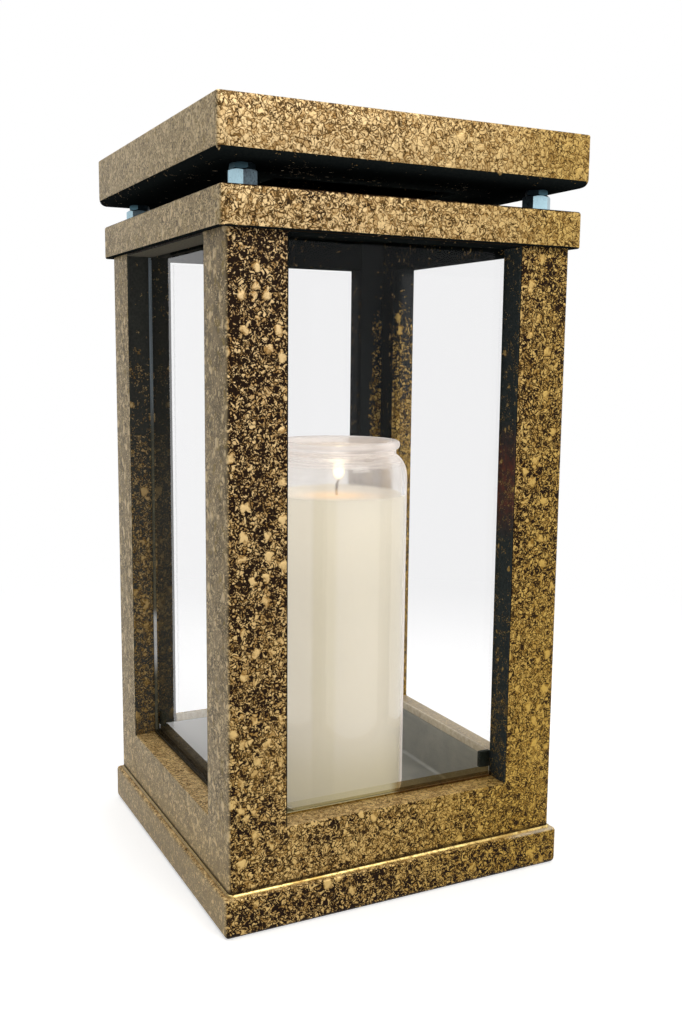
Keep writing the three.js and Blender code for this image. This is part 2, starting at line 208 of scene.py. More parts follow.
def turned(name, profile, sides, material, centre):
    """A profile of (radius, level) points, from the axis back to the axis, turned about it."""
    x, y, z = centre
    inner = profile[1:-1]
    verts = [(x, y, z + profile[0][1])]
    for radius, level in inner:
        verts += [(px, py, z + level) for px, py in arc(x, y, radius, 0, 360, sides)[:-1]]
    verts.append((x, y, z + profile[-1][1]))
    last = len(verts) - 1
    faces = []
    for i in range(sides):
        j = (i + 1) % sides
        faces.append((0, 1 + j, 1 + i))
        for ring in range(len(inner) - 1):
            a = 1 + ring * sides
            faces.append((a + i, a + j, a + sides + j, a + sides + i))
        a = 1 + (len(inner) - 1) * sides
        faces.append((a + i, a + j, last))
    return add_mesh(name, verts, faces, material)


# Shader nodes
class Graph:
    """The nodes of one material or world, with short names for making and joining them."""

    def __init__(self, owner):
        owner.use_nodes = True
        self.owner = owner
        self.tree = owner.node_tree
        self.tree.nodes.clear()

    def feed(self, socket, value):
        if isinstance(value, bpy.types.NodeSocket):
            self.tree.links.new(value, socket)
        elif socket.type == "RGBA":
            socket.default_value = (*value, 1)
        else:
            socket.default_value = value

    def node(self, kind, **given):
        """Names that start with a capital are the node's inputs. The others are its settings."""
        made = self.tree.nodes.new(kind)
        for name, value in given.items():
            if name[0].isupper():
                self.feed(made.inputs[name.replace("_", " ")], value)
            else:
                setattr(made, name, value)
        return made

    def join(self, kind, *values, output=0, **settings):
        """Feeds a new node's inputs in their order and gives back an output."""
        made = self.node(kind, **settings)
        for socket, value in zip(made.inputs, values):
            self.feed(socket, value)
        return made.outputs[output]

    def math(self, operation, *values, clamp=False):
        return self.join("ShaderNodeMath", *values, operation=operation, use_clamp=clamp)

    plus = partialmethod(math, "ADD")
    minus = partialmethod(math, "SUBTRACT")
    times = partialmethod(math, "MULTIPLY")
    times_plus = partialmethod(math, "MULTIPLY_ADD")

    def most(self, first, *others):
        for value in others:
            first = self.math("MAXIMUM", first, value)
        return first

    def apart(self, a, b=0.0):
        """How far two numbers are from each other."""
        return self.math("ABSOLUTE", self.minus(a, b))

    def step(self, value, low, high, low_out=0.0, high_out=1.0):
        """A smooth step from low_out at low to high_out at high; low may be above high."""
        values = (value, low, high, low_out, high_out)
        return self.join("ShaderNodeMapRange", *values, interpolation_type="SMOOTHSTEP")

    def blend(self, factor, a, b):
        """Blends two numbers."""
        return self.node("ShaderNodeMix", Factor=factor, A=a, B=b).outputs["Result"]

    def mix(self, factor, a, b):
        """Mixes two colours."""
        return self.node("ShaderNodeMix", data_type="RGBA", Factor=factor, A=a, B=b).outputs["Result"]

    def vector(self, operation, *values, output="Vector"):
        return self.join("ShaderNodeVectorMath", *values, operation=operation, output=output)

    shift = partialmethod(vector, "ADD")
    along = partialmethod(vector, "DOT_PRODUCT", output="Value")
    length = partialmethod(vector, "LENGTH", output="Value")

    def stretch(self, vector, by):
        """by is one factor, or one for each axis."""
        return self.vector("MULTIPLY", vector, by if isinstance(by, tuple) else (by, by, by))

    def axes(self, vector):
        return self.node("ShaderNodeSeparateXYZ", Vector=vector).outputs

    def noise(self, vector, scale, detail=2.0, roughness=0.5, output="Fac"):
        made = self.node("ShaderNodeTexNoise", Vector=vector, Scale=scale, Detail=detail, Roughness=roughness)
        return made.outputs[output]

    def sway(self, vector, *settings):
        """Noise as a vector about nought."""
        return self.shift(self.noise(vector, *settings, output="Color"), (-0.5, -0.5, -0.5))

    def cells(self, vector, scale, feature="F1"):
        return self.node("ShaderNodeTexVoronoi", feature=feature, Vector=vector, Scale=scale).outputs

    def chances(self, colour):
        """Three numbers from 0 to 1 out of a cell's colour."""
        return self.node("ShaderNodeSeparateColor", Color=colour).outputs

    def place(self):
        """Object coordinates in millimetres."""
        return self.stretch(self.node("ShaderNodeTexCoord").outputs["Object"], 1 / MM)

    def normal(self):
        return self.node("ShaderNodeNewGeometry").outputs["True Normal"]

    def facing(self, blend):
        """From 0 where a face looks at the eye to 1 where it is seen edge-on."""
        return self.node("ShaderNodeLayerWeight", Blend=blend).outputs["Facing"]

    def bump(self, height, strength, distance):
        return self.node("ShaderNodeBump", Strength=strength, Distance=distance, Height=height).outputs[0]

    def principled(self, **inputs):
        return self.node("ShaderNodeBsdfPrincipled", **inputs).outputs[0]

    def clear(self, tint):
        return self.node("ShaderNodeBsdfTransparent", Color=tint).outputs[0]

    def mix_shader(self, factor, a, b):
        return self.join("ShaderNodeMixShader", factor, a, b)

    def surface(self, shader):
        """Joins a shader to the output and gives back the material."""
        self.node("ShaderNodeOutputMaterial", Surface=shader)
        return self.owner

    def paint(self, **inputs):
        """A material that is one principled shader."""
        return self.surface(self.principled(**inputs))


def new_graph(name):
    return Graph(bpy.data.materials.new(name))


# The splattered gold coat. Pairs of colours go from darkest to lightest, or from deep to pale
PLAIN_BLACK = ((0.003, 0.0015, 0.0008), (0.022, 0.009, 0.003))
# The inner black's bluish, lighter end is partly a painted sheen
INNER_BLACK_AND_SHEEN = ((0.002, 0.004, 0.005), (0.014, 0.016, 0.015))
CORNER_SLATE = ((0.006, 0.009, 0.011), (0.034, 0.038, 0.038))
GLAZED_BLACK = ((0.018, 0.020, 0.020), (0.070, 0.070, 0.060))
JAMB_SLATE = ((0.008, 0.012, 0.013), (0.060, 0.070, 0.068))
LINTEL_GREY = ((0.055, 0.050, 0.038), (0.150, 0.138, 0.110))
BRIGHT_GOLD = ((0.56, 0.36, 0.075), (0.82, 0.60, 0.31))
DARK_GOLD = ((0.22, 0.115, 0.014), (0.31, 0.17, 0.05))
DIMMED_GOLD = (0.06, 0.036, 0.012)
BROWN_BETWEEN = ((0.060, 0.033, 0.006), (0.12, 0.068, 0.020))
# The red of the painted flame light on the black paint
PAINTED_FLAME_GLOW = (0.16, 0.052, 0.034)
# The mist colours of the side faces, partly a painted sheen
MIST_SHEEN_DARK = (0.32, 0.23, 0.11)
MIST_SHEEN_FLAKE = (0.66, 0.51, 0.29)
MIST_SHEEN_FLAKE_LOW = (0.72, 0.53, 0.26)
MIST_SHEEN_GROUND = ((0.15, 0.115, 0.065), (0.28, 0.215, 0.125))
MIST_SHEEN_GROUND_LOW = (0.36, 0.265, 0.14)
MIST_SHEEN_BLOTCH = (0.30, 0.21, 0.055)
# The paler colour painted on the right sill tops as candle light
SILL_PAINTED_LIGHT = (0.80, 0.71, 0.56)
# The colour of the painted shade in corners
PAINTED_CORNER_SHADE = (0.02, 0.010, 0.003)

# Width of the dark lines between flakes where the coat is thin and where it is thick, as a share of
# a flake, and how far that width varies
WIDE_LINE = 0.22
FINE_LINE = 0.045
LINE_SPREAD = 0.10
# Widths in millimetres of the cells that hold the large and the small drops
DROP_CELL = 6.5
BEAD_CELL = 3.4


@dataclass
class Coat:
    """What one material of the splattered coat is told."""
    # The gold's cover on the outer faces, the inner ones, the upward ones and the downward ones
    outer: float
    reveal: float
    top: float
    under: float
    # What sets this coat's pattern off from the others'
    seed: float
    # The share of cells that hold a large drop, and a large flake's width in millimetres
    blobs: float
    size: float = 1.8
    # What the cover gains low down, between which levels, and between two x values only where given
    foot: float = 0.0
    foot_levels: tuple = (60, 230)
    foot_band: tuple = None
    # The shine of the paint; a coat without any is one of the matt ones inside
    gloss: float = 0.06
    # How far the gold is taken down to brown
    dim: float = 0.0
    # The level of a corner where a line of shade is painted, and how dark it is
    shade_level: float = None
    shade: float = 0.8
    # The level of the flame, round which its light is painted red on the black paint
    ember: float = None
    ground: tuple = PLAIN_BLACK


def look_at_place(g, seed):
    """Where a point of the coat is, which way it looks, and the noise that its parts share."""
    place = g.place()
    normal = g.normal()
    shifted = g.shift(place, (seed, seed * 1.7, seed * 0.6))
    x, _, z = g.axes(place)
    look_x, _, look_z = g.axes(normal)
    upward = g.step(look_z, 0.35, 0.9)
    return SimpleNamespace(
        shifted=shifted,
        x=x,
        z=z,
        look_x=look_x,
        upward=upward,
        downward=g.step(look_z, -0.12, -0.8),
        outward=g.step(g.along(place, g.stretch(normal, (1, 1, 0))), 60, 80),
        sill_top=g.times(upward, g.step(z, 100, 60)),
        near_foot=g.step(z, 75, 15),
        fine=g.noise(shifted, 2.2, 2.0, 0.6),
    )


def gold_cover(g, coat, at):
    """How much gold a face gets, and how much a point of it gets, from 0 to 1."""
    low_down = g.step(at.z, coat.foot_levels[1], coat.foot_levels[0])
    if coat.foot_band:
        low_down = g.times(low_down, g.step(at.x, *coat.foot_band))
    to_right = g.step(at.x, -60, 90, 0.0, 0.12)
    outer = g.plus(g.times_plus(low_down, coat.foot, coat.outer), to_right)
    cover = g.blend(at.outward, g.times_plus(low_down, coat.foot, coat.reveal), outer)
    cover = g.blend(at.upward, cover, coat.top)
    cover = g.blend(at.downward, cover, coat.under)
    drift = g.minus(g.noise(at.shifted, 0.035, 1.0), 0.5)
    patch = g.minus(g.noise(g.shift(at.shifted, (9.0, 4.0, 2.0)), 0.24, 2.0, 0.55), 0.5)
    fill = g.times_plus(patch, 0.9, g.times_plus(drift, 0.5, cover), clamp=True)
    return cover, fill


def flakes(g, place, size, fill):
    """Flakes with dark lines between them, their domes, and a chance for each; fill is their cover."""
    chance = g.chances(g.cells(place, 1 / size)["Color"])
    edge = g.cells(place, 1 / size, "DISTANCE_TO_EDGE")["Distance"]
    line = g.times_plus(fill, FINE_LINE - WIDE_LINE, WIDE_LINE)
    line = g.times_plus(g.minus(chance[1], 0.5), LINE_SPREAD, line)
    share = g.times_plus(fill, 0.75, g.step(fill, 0.0, 0.24, 0.0, 0.38))
    there = g.math("LESS_THAN", chance[0], share)
    inside = g.minus(edge, line)
    flake = g.times(g.step(inside, -0.01, 0.02), there)
    dome = g.times(g.step(inside, -0.01, 0.16), there)
    return flake, dome, chance[2]


def drops(g, place, spacing, share):
    """Round drops and their domes, one at most in each cell; share is how many cells hold one."""
    cell = g.cells(place, 1 / spacing)
    chance = g.chances(cell["Color"])
    radius = g.times_plus(chance[1], 0.22, 0.2)
    there = g.math("LESS_THAN", chance[0], share)
    bulge = g.minus(1.0, g.math("DIVIDE", cell["Distance"], radius), clamp=True)
    return g.times(g.step(bulge, 0.0, 0.1), there), g.times(g.step(bulge, 0.0, 0.6), there)


def splatter(g, coat, at, cover, fill):
    """Flakes of two sizes and drops of two sizes, with bent and ragged outlines: where the gold is,
    how high it stands, and a chance for each large flake."""
    sway = g.sway(at.shifted, 0.3, 1.0, 0.5)
    rag = g.sway(at.shifted, 1.7, 2.0, 0.6)
    bent = g.shift(g.shift(at.shifted, g.stretch(sway, 5.5)), g.stretch(rag, 0.45))
    melted = g.shift(g.shift(at.shifted, g.stretch(rag, 1.1)), g.stretch(sway, 4.0))
    melted = g.stretch(melted, (1.0, 1.0, 0.8))
    large, large_dome, chance = flakes(g, bent, coat.size, fill)
    beside = g.shift(bent, (17.0, 5.0, 3.0))
    small, small_dome, _ = flakes(g, beside, coat.size * 0.55, g.times(fill, 0.65))
    drop, drop_dome = drops(g, melted, DROP_CELL, g.times(coat.blobs, g.step(cover, 0.0, 0.3)))
    bead, bead_dome = drops(g, g.shift(melted, (3.0, 8.0, 1.0)), BEAD_CELL, g.times(fill, 0.6))
    gold = g.most(large, small, drop, bead)
    height = g.most(g.times(large_dome, 0.6), g.times(small_dome, 0.4), drop_dome, g.times(bead_dome, 0.8))
    return gold, height, chance


def painted_gold_paleness(g, at):
    """Painted reflection: the gold is paler high up, on the left and on the sills."""
    to_left = g.step(at.x, 85, -60, 0.0, 0.45)
    high_up = g.step(at.z, 20, 370)
    less_right = g.step(at.x, 40, 90, 0.55, 0.25)
    return g.times_plus(at.sill_top, 0.25, g.times_plus(high_up, less_right, to_left), clamp=True)


def gold_colour(g, coat, paleness, glint):
    gold = g.mix(glint, g.mix(paleness, *DARK_GOLD), g.mix(paleness, *BRIGHT_GOLD))
    return g.mix(coat.dim, gold, DIMMED_GOLD)


def ground_colour(g, coat, at, fill, paleness):
    """Black paint. Where the gold lies thick, brown paint shows between the flakes."""
    ground = g.mix(g.noise(at.shifted, 0.9, 3.0, 0.6), *coat.ground)
    ground = g.mix(g.step(fill, 0.40, 0.85), ground, g.mix(paleness, *BROWN_BETWEEN))
    # Painted light: the black ground turns red round the flame's level, where the flame lights it
    if coat.ember:
        painted_flame_glow = g.step(g.apart(at.z, coat.ember), 34, 4)
        uneven = g.step(g.noise(at.shifted, 0.35, 3.0, 0.6), 0.3, 0.7, 0.2, 0.85)
        ground = g.mix(g.times(painted_flame_glow, uneven), ground, PAINTED_FLAME_GLOW)
    return ground


def mist_and_sheen_colours(g, at, glint):
    """The dull mist on the side faces, partly a painted sheen of grazing reflection: the colour of its flakes
    and of what lies between them.
    """
    flake = g.mix(glint, MIST_SHEEN_DARK, g.mix(at.near_foot, MIST_SHEEN_FLAKE, MIST_SHEEN_FLAKE_LOW))
    cloud = g.noise(g.shift(at.shifted, (31.0, 7.0, 13.0)), 0.12, 3.0, 0.6)
    ground = g.mix(g.step(cloud, 0.35, 0.65), *MIST_SHEEN_GROUND)
    blotch = g.noise(g.shift(at.shifted, (3.0, 17.0, 5.0)), 0.16, 2.0, 0.5)
    ground = g.mix(g.step(blotch, 0.56, 0.68, 0.0, 0.6), ground, MIST_SHEEN_BLOTCH)
    return flake, g.mix(g.times(at.near_foot, 0.7), ground, MIST_SHEEN_GROUND_LOW)


def speckle(name, **told):
    """Black ground with a splattered gold coat. On the side faces a thin dull mist takes its place, partly as
    a painted sheen, which the matt coats inside don't have."""
    coat = Coat(**told)
    g = new_graph(name)
    at = look_at_place(g, coat.seed)
    cover, fill = gold_cover(g, coat, at)
    gold, height, chance = splatter(g, coat, at, cover, fill)
    tone = g.times_plus(height, 0.40, g.times_plus(chance, 0.40, g.times(at.fine, 0.7)))
    glint = g.step(tone, 0.40, 0.93)
    paleness = painted_gold_paleness(g, at)
    sideways = 0.0
    # Painted sheen: the outer faces that look sideways take the paler mist colours
    if coat.gloss > 0:
        sideways = g.times(g.step(g.apart(at.look_x), 0.55, 0.9), at.outward)
    mist_sheen_flake, mist_sheen_ground = mist_and_sheen_colours(g, at, glint)
    ground = g.mix(sideways, ground_colour(g, coat, at, fill, paleness), mist_sheen_ground)
    flake = g.mix(sideways, gold_colour(g, coat, paleness, glint), mist_sheen_flake)
    # Painted light: the sill tops at the right are made paler, where the candle lights them
    lit_sill = g.times(at.sill_top, g.step(at.x, 62, 76, 0.0, 0.55))
    colour = g.mix(lit_sill, g.mix(gold, ground, flake), SILL_PAINTED_LIGHT)
    # Painted shade: the coat is darkened from the given level to about 3 mm above it, a painted shadow line
    if coat.shade_level:
        painted_shade = g.step(at.z, coat.shade_level + 3.2, coat.shade_level + 1.9, 0.0, coat.shade)
        colour = g.mix(painted_shade, colour, PAINTED_CORNER_SHADE)
    return g.paint(
        Base_Color=colour,
        Metallic=g.times(gold, g.blend(sideways, 0.35, 0.08)),
        Roughness=g.times_plus(gold, -0.08, 0.42),
        Specular_IOR_Level=coat.gloss,
        Normal=g.bump(g.times_plus(at.fine, 0.2, height), 0.9, 0.4 * MM),
    )


# Steel
def painted_facet_reflection(g, place, normal):
    """Painted reflection: how light the faces of the hexagons are; on the left those that look left, with a
    painted glint where one looks right at the inner edge, and on the right those that look forwards."""
    x = g.axes(place)[0]
    left_look = g.step(g.along(normal, (-0.95, -0.1, 0.25)), 0.25, 0.8)
    right_look = g.step(g.along(normal, (0.87, -0.5, 0.0)), 0.9, 0.97, 0.0, 0.9)
    inner_edge = g.step(g.apart(x), 75.5, 74.6, 0.15, 1.0)
    on_left = g.most(left_look, g.times(right_look, inner_edge))
    on_right = g.step(g.along(normal, (0.1, -1.0, 0.1)), 0.6, 0.95)
    return g.blend(g.step(x, -20, 20), on_left, on_right)


def steel(name, dark, light, rough, brush=(1.0, 1.0, 1.0), scratch=0.5, painted_facets=False, painted_far_wall=None):
    """Bare or zinc-plated steel with a cloudy, brushed surface. brush stretches its lines, facets paints
    reflections on the faces of a hexagon, and painted_far_wall is a painted reflection: the colour of the
    faces that look forwards."""
    g = new_graph(name)
    place = g.place()
    normal = g.normal()
    cloud = g.noise(place, 0.08, 4.0, 0.6)
    lines = g.noise(g.stretch(place, brush), 1.6, 3.0, 0.7)
    tone = g.step(g.plus(g.times(cloud, 0.6), g.times(lines, 0.4)), 0.3, 0.7)
    # Painted reflection: each face of a hexagon is made lighter or darker by which way it looks
    if painted_facets:
        tone = g.times_plus(tone, 0.25, g.times(painted_facet_reflection(g, place, normal), 0.75))
    colour = g.mix(tone, dark, light)
    if painted_far_wall:
        colour = g.mix(g.step(g.along(normal, (0, -1, 0)), 0.3, 0.8), colour, painted_far_wall)
    return g.paint(
        Base_Color=colour,
        Metallic=0.35 if painted_far_wall else 1.0,
        Roughness=g.times_plus(lines, 0.2, rough),
        Normal=g.bump(lines, 0.3 * scratch, 0.05 * MM),
    )


# Glass, wax and flame
WHITE = (1.0, 1.0, 1.0)
# The photo's left to right, along the ground
PHOTO_ASIDE = (0.896, -0.444, 0.0)


def aside_of_candle(g, place):
    """How far to the right of the candle's middle a point is, as the photo sees it."""
    return g.along(g.shift(place, (-jar_x_mm, -jar_y_mm, 0.0)), PHOTO_ASIDE)


def pane_glass(name, gloss_ior):
    """Clear glass that reflects on its near face alone, and little by the sill; gloss_ior sets how
    much."""
    g = new_graph(name)
    place = g.place()
    smear = g.noise(place, 0.03, 3.0, 0.6)
    dust = g.step(g.noise(place, 1.4, 2.0, 0.5), 0.70, 0.76)
    near_face = g.minus(1.0, g.node("ShaderNodeNewGeometry").outputs["Backfacing"])
    over_sill = g.step(g.axes(place)[2], sill_mm, sill_mm + 30, 0.10, 1.0)
    fresnel = g.node("ShaderNodeFresnel", IOR=gloss_ior).outputs[0]
    mirror = g.node(
        "ShaderNodeBsdfGlossy",
        Color=WHITE,
        Roughness=g.plus(g.times(smear, 0.03), g.times(dust, 0.3)),
        Normal=g.bump(smear, 0.02, 1 * MM),
    ).outputs[0]
    gloss = g.times(fresnel, g.times(near_face, over_sill))
    return g.surface(g.mix_shader(gloss, g.clear((0.967, 0.967, 0.969)), mirror))


def painted_neck_glow(g, place, below_rim):
    """Painted light: the flame's glow on the jar's neck, round the line through the flame that the camera
    looks along: two bright rings and a halo under them."""
    apart = g.apart(aside_of_candle(g, place))
    low_ring = g.step(g.apart(below_rim, 8.8), 1.6, 0.2, 0.0, 0.6)
    high_ring = g.step(g.apart(below_rim, 4.4), 1.0, 0.1, 0.0, 0.35)
    rings = g.times(g.most(low_ring, high_ring), g.step(apart, 13, 0))
    halo = g.times(g.step(below_rim, 25, 19), g.step(below_rim, 9, 13))
    return g.most(rings, g.times(halo, g.step(apart, 9, 0, 0.0, 0.22)))


def neck_milkiness(g, place, level, below_rim):
    """The glass is milky over the wax, most of all at the neck, and its edges are milky all the way, a
    painted sheen where the glass is seen edge-on.
    """
    cloud = g.noise(g.stretch(place, (0.6, 0.6, 1.6)), 0.12, 3.0, 0.6)
    ridges = g.noise(g.stretch(place, (0.03, 0.03, 1.0)), 0.9, 2.0, 0.5)
    neck = g.times(g.step(below_rim, 14.5, 12.0), g.step(below_rim, 3.6, 5.0))
    milky = g.step(level, pool_mm - 3, pool_mm + 8, 0.02, 0.15)
    milky = g.plus(milky, g.times(neck, g.step(ridges, 0.3, 0.7, 0.08, 0.34)))
    milky = g.times(milky, g.times_plus(cloud, 1.2, 0.4), clamp=True)
    milky = g.plus(milky, g.step(below_rim, 6.0, 3.5, 0.0, 0.26), clamp=True)
    return g.most(milky, g.step(g.facing(0.5), 0.66, 0.9, 0.0, 0.8))


def jar_glass():
    """Pressed glass, clear low down and milky round the neck, where the milky haze glows with painted flame
    light.
    """
    g = new_graph("pressed_jar_glass")
    place = g.place()
    level = g.axes(place)[2]
    below_rim = g.minus(rim_mm, level)
    wave = g.noise(g.stretch(place, (1, 1, 0.4)), 0.09, 2.0, 0.5)
    frosted = g.step(level, pool_mm, pool_mm + 6, 0.0, 0.09)
    glass = g.principled(
        Base_Color=g.mix(wave, (0.93, 0.94, 0.94), (0.98, 0.98, 0.97)),
        Transmission_Weight=1.0,
        IOR=1.48,
        Roughness=g.times_plus(wave, 0.03, frosted),
        Normal=g.bump(wave, 0.12, 1.5 * MM),
    )
    glow = painted_neck_glow(g, place, below_rim)
    # The haze glows from within: painted flame light, brightest where the painted rings lie
    glowing_haze = g.principled(
        Base_Color=(0.86, 0.80, 0.76),
        Roughness=0.6,
        Emission_Color=g.mix(glow, (1.0, 0.88, 0.80), (1.0, 0.80, 0.42)),
        Emission_Strength=g.times_plus(glow, 0.7, 0.34),
    )
    milky = g.most(neck_milkiness(g, place, level, below_rim), glow)
    return g.surface(g.mix_shader(milky, glass, glowing_haze))


def wax_material():
    """Cream paraffin, greener low down, with a painted glow for the flame's light that it passes on, most of
    all round the wick.
    """
    g = new_graph("cream_wax")
    place = g.place()
    level = g.axes(place)[2]
    cloud = g.noise(g.stretch(place, (1, 1, 0.35)), 0.035, 3.0, 0.55)
    grain = g.noise(place, 0.9, 3.0, 0.6)
    low = g.mix(cloud, (0.64, 0.57, 0.29), (0.72, 0.65, 0.38))
    high = g.mix(cloud, (0.70, 0.66, 0.52), (0.78, 0.73, 0.60))
    colour = g.mix(g.step(level, 30, 78), low, high)
    colour = g.mix(g.times(grain, 0.12), colour, (0.88, 0.84, 0.74))
    # A faint upright yellower band, just left of the candle's middle
    aside = aside_of_candle(g, place)
    band = g.times(g.step(aside, -13, -11, 0.0, 0.4), g.step(aside, 2, -2))
    colour = g.mix(band, colour, (0.62, 0.56, 0.32))
    # Painted light: the wax glows, more high up, less low down and most round the wick
    near = g.step(g.length(g.shift(place, (-jar_x_mm, -jar_y_mm, -pool_mm))), 34, 2)
    upper = g.step(level, pool_mm - 60, pool_mm)
    lit = g.plus(g.times_plus(upper, 0.10, 0.29), g.times(near, 0.40))
    return g.paint(
        Base_Color=colour,
        Roughness=g.times_plus(grain, 0.2, 0.35),
        Emission_Color=g.mix(near, (1.0, 0.90, 0.76), (1.0, 0.60, 0.27)),
        Emission_Strength=g.times(lit, g.step(level, 40, 84, 0.86, 1.0)),
        Normal=g.bump(grain, 0.05, 0.3 * MM),
    )


def wick_material():
    """A braid, waxed low down and charred above the wax."""
    g = new_graph("charred_wick")
    place = g.place()
    braid = g.noise(g.stretch(place, (2.0, 2.0, 1.0)), 1.4, 2.0, 0.5)
    char = g.step(g.axes(place)[2], pool_mm + 0.3, pool_mm + 3)
    return g.paint(
        Base_Color=g.mix(char, (0.86, 0.62, 0.36), (0.03, 0.016, 0.01)),
        Roughness=0.9,
        Normal=g.bump(braid, 0.8, 0.3 * MM),
    )


def flame_material():
    """White in the middle, yellow towards its skin, where it fades to nothing, as it does at its foot."""
    g = new_graph("flame")
    place = g.place()
    level = g.axes(place)[2]
    facing = g.facing(0.3)
    core = g.minus(1.0, g.step(facing, 0.15, 0.75))
    skin = g.mix(g.step(level, wick_tip_mm - 2, wick_tip_mm + 5), (1.0, 0.42, 0.12), (1.0, 0.72, 0.30))
    flicker = g.times(g.noise(place, 0.3, 2.0, 0.5), 0.3)
    light = g.node(
        "ShaderNodeEmission",
        Color=g.mix(core, skin, (1.0, 0.90, 0.62)),
        Strength=g.plus(g.times_plus(core, 1.2, 0.9), flicker),
    ).outputs[0]
    foot = g.step(level, wick_tip_mm + 3.5, wick_tip_mm - 0.5, 0.0, 0.75)
    unseen = g.most(g.step(facing, 0.15, 0.85), foot)
    return g.surface(g.mix_shader(unseen, light, g.clear(WHITE)))


# Silicone, sealing strips and the paint in the seam
CLEAR_SILICONE = (0.985, 0.985, 0.985)
PANE_MM = 3.0


def skin_on_clear(g, colour, grain, rough, seen, tint):
    """A rough skin over clear rubber: seen is how much of the skin shows, and tint colours the rest."""
    skin = g.principled(
        Base_Color=colour,
        Roughness=g.times_plus(grain, 0.2, rough),
        Specular_IOR_Level=0.1,
        Normal=g.bump(grain, 0.3, 0.2 * MM),
    )
    return g.surface(g.mix_shader(seen, g.clear(tint), skin))


def clear_by_candle(g, place, seen, tint, part_clear):
    """In front of the candle the front silicone and seal are clear; right of it they are brown."""
    right_of_candle = g.step(g.axes(place)[0], 2.0, 8.0)
    return g.times(seen, right_of_candle), g.mix(right_of_candle, part_clear, tint)


def jamb_line(g, place):
    """A pale line on the silicone's skin along the left window's far jamb, with a painted shine partway up:
    where, and its colour.
    """
    x, y, level = g.axes(place)
    outer_face = -(body_half - frame_depth) / MM - PANE_MM
    jamb = g.step(y, window_half / MM - 3, window_half / MM - 2.2)
    jamb = g.times(jamb, g.step(level, lintel_mm - 0.1, lintel_mm - 0.7))
    jamb = g.times(jamb, g.step(x, outer_face + 1.6, outer_face + 1.2))
    # Painted highlight: the line is near white between the levels of 84 and 128 mm
    shine = g.times(g.step(level, 84, 100), g.step(level, 128, 120))
    colour = g.mix(g.step(level, 225, 262), (0.11, 0.11, 0.08), (0.27, 0.32, 0.36))
    return jamb, g.mix(shine, colour, (0.80, 0.83, 0.86))


def silicone_material(name, low, body, tint=CLEAR_SILICONE, pale_jamb=False, part_clear=None):
    """Clear silicone with a tinted skin along the sill; body is how much of that skin can be seen.
    part_clear is the tint of the clear part in front of the candle, where there is one."""
    g = new_graph(name)
    place = g.place()
    grain = g.noise(place, 0.5, 3.0, 0.6)
    by_sill = g.step(g.axes(place)[2], sill_mm + 2.6, sill_mm + 1.6)
    seen = g.times(by_sill, g.times_plus(grain, 0.3, body), clamp=True)
    colour = g.mix(grain, low, tuple(channel * 2.2 for channel in low))
    if pale_jamb:
        jamb, line = jamb_line(g, place)
        jamb = g.times(jamb, g.minus(1.0, by_sill))
        colour = g.mix(jamb, colour, line)
        seen = g.most(seen, g.times(jamb, 0.85))
    if part_clear:
        seen, tint = clear_by_candle(g, place, seen, tint, part_clear)
    return skin_on_clear(g, colour, grain, 0.35, seen, g.mix(by_sill, CLEAR_SILICONE, tint))


def seal_material(name, colours, tint, body, part_clear=None):
    """The sealing strip behind a pane's foot; body is how much of it the light can't pass, and part_clear is
    the tint of the clear part in front of the candle, where there is one."""
    g = new_graph(name)
    place = g.place()
    grain = g.noise(place, 0.35, 3.0, 0.6)
    colour = g.mix(g.step(grain, 0.3, 0.7), *colours)
    dense = g.times_plus(grain, 0.1, body, clamp=True)
    if part_clear:
        dense, tint = clear_by_candle(g, place, dense, tint, part_clear)
    return skin_on_clear(g, colour, grain, 0.5, dense, tint)


def seam_paint():
    """The gold that gathers in the seam over the plinth, patchy along the front, with painted shade that
    makes it dull on the sides.
    """
    g = new_graph("gold_seam")
    place = g.place()
    grain = g.noise(place, 0.6, 3.0, 0.6)
    patchy = g.step(g.noise(place, 0.06, 2.0, 0.6), 0.28, 0.52)
    front = g.mix(patchy, (0.42, 0.25, 0.05), (1.0, 0.78, 0.30))
    front = g.mix(g.step(grain, 0.2, 0.6), (0.26, 0.13, 0.02), front)
    side = g.mix(grain, (0.12, 0.07, 0.015), (0.36, 0.24, 0.08))
    # Painted shade: the faces that look sideways take the darker side colour
    sideways = g.step(g.apart(g.axes(g.normal())[0]), 0.2, 0.5)
    return g.paint(
        Base_Color=g.mix(sideways, front, side),
        Metallic=0.6,
        Roughness=g.times_plus(grain, 0.2, 0.2),
        Normal=g.bump(grain, 0.5, 0.3 * MM),
    )


# The coats of the painted pieces
roof_coat = speckle(
    "speckle_roof", outer=0.82, reveal=0.03, top=0.8, under=0.0, seed=11.0, blobs=0.15, size=2.1,
)
collar_coat = speckle(
    "speckle_collar", outer=0.70, reveal=0.03, top=0.04, under=0.02, seed=47.0, blobs=0.15, size=2.0,
)
plinth_coat = speckle("speckle_plinth", outer=0.44, reveal=0.03, top=0.92, under=0.02, seed=83.0, blobs=0.25)
# The bottom rails and the posts carry a painted shadow line just above the seam
rail_coat = speckle(
    "speckle_rail", outer=0.56, reveal=0.08, top=0.95, under=0.05, seed=23.0, blobs=0.12, shade_level=seam_mm,
)
